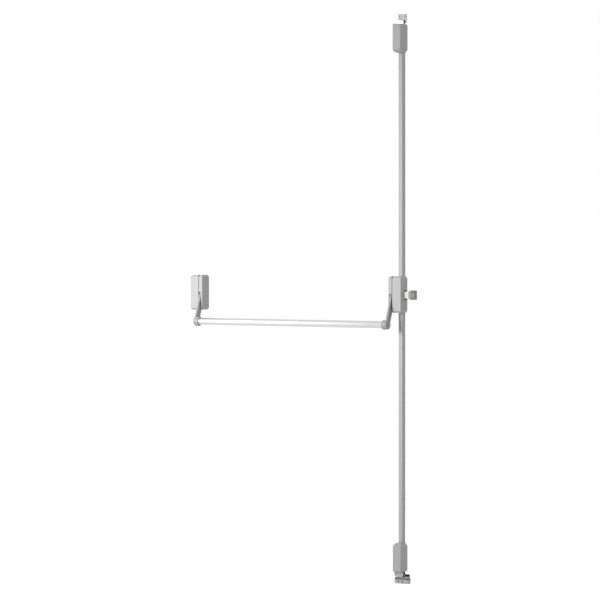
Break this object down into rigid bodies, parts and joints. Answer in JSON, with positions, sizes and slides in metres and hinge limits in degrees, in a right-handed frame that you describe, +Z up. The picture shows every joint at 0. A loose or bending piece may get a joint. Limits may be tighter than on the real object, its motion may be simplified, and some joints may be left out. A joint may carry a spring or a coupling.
{
  "type": "panic bar",
  "caption": "Push-bar exit device for a door: round bar on two levers, lock case with side latch, and covered rods to top and floor bolts.",
  "frame": {"origin": "middle of the lock case on the door face", "axes": "+X to the latch edge of the door, +Y into the door, +Z up"},
  "size_m": [1.0347, 0.1107, 2.1955],
  "materials": {
    "silver_cover": "satin silver powder coat",
    "silver_end": "satin silver powder coat, a shade darker",
    "silver_lever": "satin silver paint",
    "bar_metal": "satin anodised",
    "zinc_steel": "bright zinc plated",
    "bright_steel": "ground and nickel plated",
    "gear_steel": "machined",
    "spring_steel": "drawn wire",
    "nylon_black": "moulded",
    "nylon_white": "moulded",
    "bush_bronze": "sintered",
    "strike_grey": "satin grey paint",
    "pad_rubber": "moulded"
  },
  "bodies": {
    "frame": {"axle_clips": "spring_steel", "case_rod_guides": "nylon_black", "floor_strike": "strike_grey", "floor_strike_pad": "pad_rubber", "foot_cover": "silver_end", "foot_guide": "nylon_black", "hinge_base_plate": "zinc_steel", "hinge_lever_cover": "silver_cover", "hinge_main_cover": "silver_cover", "latch_guide": "nylon_black", "latch_spring": "spring_steel", "lever_axles": "bright_steel", "lock_base_plate": "zinc_steel", "lock_lever_cover": "silver_cover", "lock_main_cover": "silver_cover", "lower_bolt_guide": "nylon_black", "lower_bolt_spring": "spring_steel", "lower_case_cover": "silver_end", "lower_case_plate": "zinc_steel", "lower_rod_cover": "silver_cover", "lower_rod_guides": "nylon_white", "mechanism_pillars": "zinc_steel", "mechanism_plate": "zinc_steel", "pinion_post": "bright_steel", "side_strike": "strike_grey", "slide_guides": "nylon_white", "slide_spring": "spring_steel", "top_strike": "strike_grey", "top_strike_pad": "pad_rubber", "upper_bolt_guide": "nylon_black", "upper_bolt_spring": "spring_steel", "upper_case_cover": "silver_end", "upper_case_plate": "zinc_steel", "upper_rod_cover": "silver_cover", "upper_rod_guides": "nylon_white"},
    "push_bar": {"lock_lever": "silver_lever", "hinge_lever": "silver_lever", "lever_bushes": "bush_bronze", "cam_pin": "bright_steel", "bar_tube": "bar_metal"},
    "upper_rod": {"drive_slide": "zinc_steel", "upper_rod": "bright_steel", "upper_rod_connector": "zinc_steel", "upper_bolt": "bright_steel"},
    "lower_rod": {"lower_slide": "zinc_steel", "lower_rod": "bright_steel", "lower_rod_connector": "zinc_steel", "lower_bolt": "bright_steel"},
    "latch": {"latch_bolt": "bright_steel"},
    "pinion": {"drive_pinion": "gear_steel"}
  },
  "joints": [
    {"name": "push_bar", "type": "hinge", "parent": "frame", "child": "push_bar", "pos_m": [0, -0.023, 0.0193], "axis": [1, 0, 0], "range_deg": [0, 15], "stiffness_Nm_per_rad": 3, "springref_deg": -28.65},
    {"name": "upper_rod", "type": "slide", "parent": "frame", "child": "upper_rod", "axis": [0, 0, -1], "range_m": [0, 0.011], "deforming": ["slide_spring", "upper_bolt_spring"]},
    {"name": "lower_rod", "type": "slide", "parent": "frame", "child": "lower_rod", "axis": [0, 0, 1], "range_m": [0, 0.011], "deforming": ["lower_bolt_spring"]},
    {"name": "latch", "type": "slide", "parent": "frame", "child": "latch", "axis": [-1, 0, 0], "range_m": [0, 0.011], "deforming": ["latch_spring"]},
    {"name": "pinion", "type": "hinge", "parent": "frame", "child": "pinion", "pos_m": [0.009, -0.014, -0.012], "axis": [0, -1, 0], "range_deg": [0, 79]}
  ],
  "couplings": [
    {"joint": "upper_rod", "follows": "push_bar", "m_per_rad": 0.042},
    {"joint": "lower_rod", "follows": "push_bar", "m_per_rad": 0.042},
    {"joint": "latch", "follows": "push_bar", "m_per_rad": 0.042},
    {"joint": "pinion", "follows": "push_bar", "ratio": 5.25}
  ]
}
